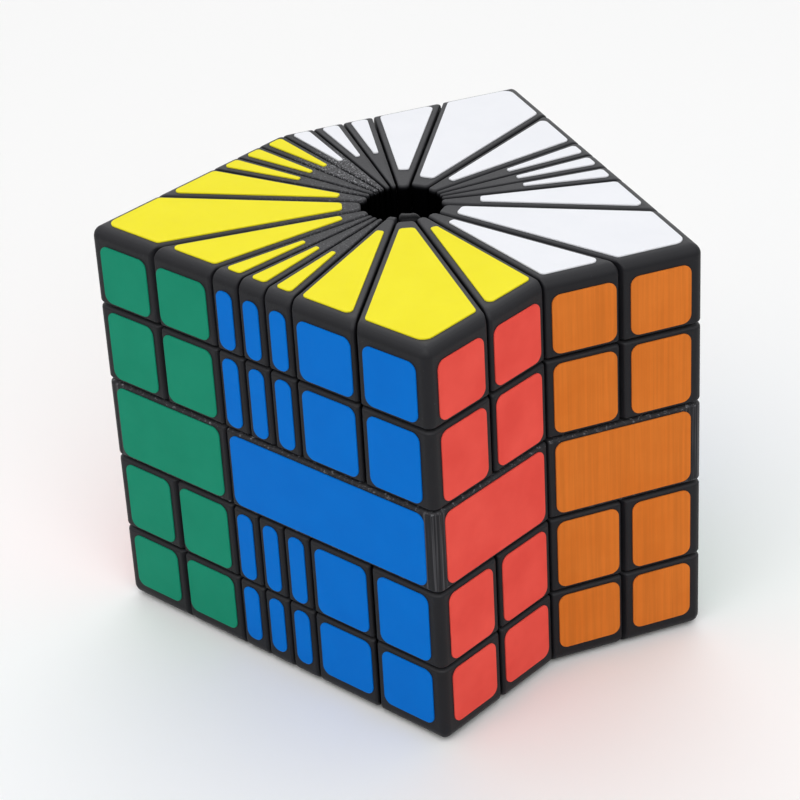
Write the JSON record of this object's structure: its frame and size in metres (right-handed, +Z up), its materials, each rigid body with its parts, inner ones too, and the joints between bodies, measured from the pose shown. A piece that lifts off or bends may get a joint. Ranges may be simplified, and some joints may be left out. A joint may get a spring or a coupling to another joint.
{
  "type": "twisty puzzle cube",
  "caption": "Shape-shifting twisty puzzle cube: turning layers of wedge pieces round an open axis hole, quartered middle layer, two crossed slice planes, black plastic with coloured stickers.",
  "frame": {"origin": "middle of the outline's box, on the floor plane under the bottom stickers; the upright turning axis crosses z = 0 at x = -0.00272, y = 0", "axes": "+Z up along the turning axis; the two slice planes are y = 0 and x = -0.00272; +X points to the reflex edge where the red and orange sides meet; Y is the longest extent"},
  "size_m": [0.0712, 0.0766, 0.0636],
  "materials": {
    "black_plastic": "fine-grained satin, dyed printed nylon",
    "core_plastic": "satin",
    "steel": "brushed",
    "red_film": "satin vinyl film",
    "blue_film": "satin vinyl film",
    "green_film": "satin vinyl film",
    "orange_film": "satin vinyl film",
    "yellow_film": "satin vinyl film",
    "white_film": "satin vinyl film"
  },
  "bodies": {
    "core_and_back_right_middle": {"middle_back_right_quarter": "black_plastic", "middle_back_right_orange_sticker": "orange_film", "middle_back_right_green_sticker": "green_film", "core": "core_plastic", "core_screws": "steel", "tension_springs": "steel", "retaining_caps": "core_plastic"},
    "middle_front_right": {"middle_front_right_quarter": "black_plastic", "middle_front_right_red_sticker": "red_film", "middle_front_right_blue_sticker": "blue_film"},
    "middle_front_left": {"middle_front_left_quarter": "black_plastic", "middle_front_left_green_sticker": "green_film", "middle_front_left_red_sticker": "red_film"},
    "middle_back_left": {"middle_back_left_quarter": "black_plastic", "middle_back_left_blue_sticker": "blue_film", "middle_back_left_orange_sticker": "orange_film"},
    "top_back_right": {"top_back_right_wedges": "black_plastic", "top_back_right_side_stickers": "orange_film", "top_back_right_white_stickers": "white_film"},
    "top_front_right": {"top_front_right_wedges": "black_plastic", "top_front_right_red_stickers": "red_film", "top_front_right_blue_stickers": "blue_film", "top_front_right_yellow_stickers": "yellow_film"},
    "top_front_left": {"top_front_left_wedges": "black_plastic", "top_front_left_side_stickers": "green_film", "top_front_left_yellow_stickers": "yellow_film"},
    "top_back_left": {"top_back_left_wedges": "black_plastic", "top_back_left_side_stickers": "blue_film", "top_back_left_white_stickers": "white_film"},
    "upper_back_right": {"upper_back_right_wedges": "black_plastic", "upper_back_right_side_stickers": "orange_film"},
    "upper_front_right": {"upper_front_right_wedges": "black_plastic", "upper_front_right_red_stickers": "red_film", "upper_front_right_blue_stickers": "blue_film"},
    "upper_front_left": {"upper_front_left_wedges": "black_plastic", "upper_front_left_side_stickers": "green_film"},
    "upper_back_left": {"upper_back_left_wedges": "black_plastic", "upper_back_left_side_stickers": "blue_film"},
    "lower_back_right": {"lower_back_right_wedges": "black_plastic", "lower_back_right_side_stickers": "orange_film"},
    "lower_front_right": {"lower_front_right_wedges": "black_plastic", "lower_front_right_red_stickers": "red_film", "lower_front_right_blue_stickers": "blue_film"},
    "lower_front_left": {"lower_front_left_wedges": "black_plastic", "lower_front_left_side_stickers": "green_film"},
    "lower_back_left": {"lower_back_left_wedges": "black_plastic", "lower_back_left_side_stickers": "blue_film"},
    "bottom_back_right": {"bottom_back_right_wedges": "black_plastic", "bottom_back_right_side_stickers": "orange_film", "bottom_back_right_yellow_stickers": "yellow_film"},
    "bottom_front_right": {"bottom_front_right_wedges": "black_plastic", "bottom_front_right_red_stickers": "red_film", "bottom_front_right_blue_stickers": "blue_film", "bottom_front_right_white_stickers": "white_film"},
    "bottom_front_left": {"bottom_front_left_wedges": "black_plastic", "bottom_front_left_side_stickers": "green_film", "bottom_front_left_white_stickers": "white_film"},
    "bottom_back_left": {"bottom_back_left_wedges": "black_plastic", "bottom_back_left_side_stickers": "blue_film", "bottom_back_left_yellow_stickers": "yellow_film"}
  },
  "joints": [
    {"name": "front_half_turn", "type": "hinge", "parent": "core_and_back_right_middle", "child": "middle_front_right", "pos_m": [-0.00272, 0, 0.0318], "axis": [0, 1, 0], "range_deg": [0, 180]},
    {"name": "left_half_turn", "type": "hinge", "parent": "core_and_back_right_middle", "child": "middle_back_left", "pos_m": [-0.00272, 0, 0.0318], "axis": [1, 0, 0], "range_deg": [-180, 0]},
    {"name": "left_half_turn_front_quarter", "type": "hinge", "parent": "middle_front_right", "child": "middle_front_left", "pos_m": [-0.00272, 0, 0.0318], "axis": [1, 0, 0], "range_deg": [-180, 0]},
    {"name": "top_layer_turn", "type": "hinge", "parent": "core_and_back_right_middle", "child": "top_back_right", "pos_m": [-0.00272, 0, 0.0318], "axis": [0, 0, 1], "range_deg": [-180, 180]},
    {"name": "top_layer_turn_front_right", "type": "hinge", "parent": "middle_front_right", "child": "top_front_right", "pos_m": [-0.00272, 0, 0.0318], "axis": [0, 0, 1], "range_deg": [-180, 180]},
    {"name": "top_layer_turn_front_left", "type": "hinge", "parent": "middle_front_left", "child": "top_front_left", "pos_m": [-0.00272, 0, 0.0318], "axis": [0, 0, 1], "range_deg": [-180, 180]},
    {"name": "top_layer_turn_back_left", "type": "hinge", "parent": "middle_back_left", "child": "top_back_left", "pos_m": [-0.00272, 0, 0.0318], "axis": [0, 0, 1], "range_deg": [-180, 180]},
    {"name": "upper_layer_turn", "type": "hinge", "parent": "core_and_back_right_middle", "child": "upper_back_right", "pos_m": [-0.00272, 0, 0.0318], "axis": [0, 0, 1], "range_deg": [-180, 180]},
    {"name": "upper_layer_turn_front_right", "type": "hinge", "parent": "middle_front_right", "child": "upper_front_right", "pos_m": [-0.00272, 0, 0.0318], "axis": [0, 0, 1], "range_deg": [-180, 180]},
    {"name": "upper_layer_turn_front_left", "type": "hinge", "parent": "middle_front_left", "child": "upper_front_left", "pos_m": [-0.00272, 0, 0.0318], "axis": [0, 0, 1], "range_deg": [-180, 180]},
    {"name": "upper_layer_turn_back_left", "type": "hinge", "parent": "middle_back_left", "child": "upper_back_left", "pos_m": [-0.00272, 0, 0.0318], "axis": [0, 0, 1], "range_deg": [-180, 180]},
    {"name": "lower_layer_turn", "type": "hinge", "parent": "core_and_back_right_middle", "child": "lower_back_right", "pos_m": [-0.00272, 0, 0.0318], "axis": [0, 0, 1], "range_deg": [-180, 180]},
    {"name": "lower_layer_turn_front_right", "type": "hinge", "parent": "middle_front_right", "child": "lower_front_right", "pos_m": [-0.00272, 0, 0.0318], "axis": [0, 0, 1], "range_deg": [-180, 180]},
    {"name": "lower_layer_turn_front_left", "type": "hinge", "parent": "middle_front_left", "child": "lower_front_left", "pos_m": [-0.00272, 0, 0.0318], "axis": [0, 0, 1], "range_deg": [-180, 180]},
    {"name": "lower_layer_turn_back_left", "type": "hinge", "parent": "middle_back_left", "child": "lower_back_left", "pos_m": [-0.00272, 0, 0.0318], "axis": [0, 0, 1], "range_deg": [-180, 180]},
    {"name": "bottom_layer_turn", "type": "hinge", "parent": "core_and_back_right_middle", "child": "bottom_back_right", "pos_m": [-0.00272, 0, 0.0318], "axis": [0, 0, 1], "range_deg": [-180, 180]},
    {"name": "bottom_layer_turn_front_right", "type": "hinge", "parent": "middle_front_right", "child": "bottom_front_right", "pos_m": [-0.00272, 0, 0.0318], "axis": [0, 0, 1], "range_deg": [-180, 180]},
    {"name": "bottom_layer_turn_front_left", "type": "hinge", "parent": "middle_front_left", "child": "bottom_front_left", "pos_m": [-0.00272, 0, 0.0318], "axis": [0, 0, 1], "range_deg": [-180, 180]},
    {"name": "bottom_layer_turn_back_left", "type": "hinge", "parent": "middle_back_left", "child": "bottom_back_left", "pos_m": [-0.00272, 0, 0.0318], "axis": [0, 0, 1], "range_deg": [-180, 180]}
  ],
  "couplings": [
    {"joint": "left_half_turn_front_quarter", "follows": "left_half_turn", "ratio": 1},
    {"joint": "top_layer_turn_front_right", "follows": "top_layer_turn", "ratio": 1},
    {"joint": "top_layer_turn_front_left", "follows": "top_layer_turn", "ratio": 1},
    {"joint": "top_layer_turn_back_left", "follows": "top_layer_turn", "ratio": 1},
    {"joint": "upper_layer_turn_front_right", "follows": "upper_layer_turn", "ratio": 1},
    {"joint": "upper_layer_turn_front_left", "follows": "upper_layer_turn", "ratio": 1},
    {"joint": "upper_layer_turn_back_left", "follows": "upper_layer_turn", "ratio": 1},
    {"joint": "lower_layer_turn_front_right", "follows": "lower_layer_turn", "ratio": 1},
    {"joint": "lower_layer_turn_front_left", "follows": "lower_layer_turn", "ratio": 1},
    {"joint": "lower_layer_turn_back_left", "follows": "lower_layer_turn", "ratio": 1},
    {"joint": "bottom_layer_turn_front_right", "follows": "bottom_layer_turn", "ratio": 1},
    {"joint": "bottom_layer_turn_front_left", "follows": "bottom_layer_turn", "ratio": 1},
    {"joint": "bottom_layer_turn_back_left", "follows": "bottom_layer_turn", "ratio": 1}
  ]
}
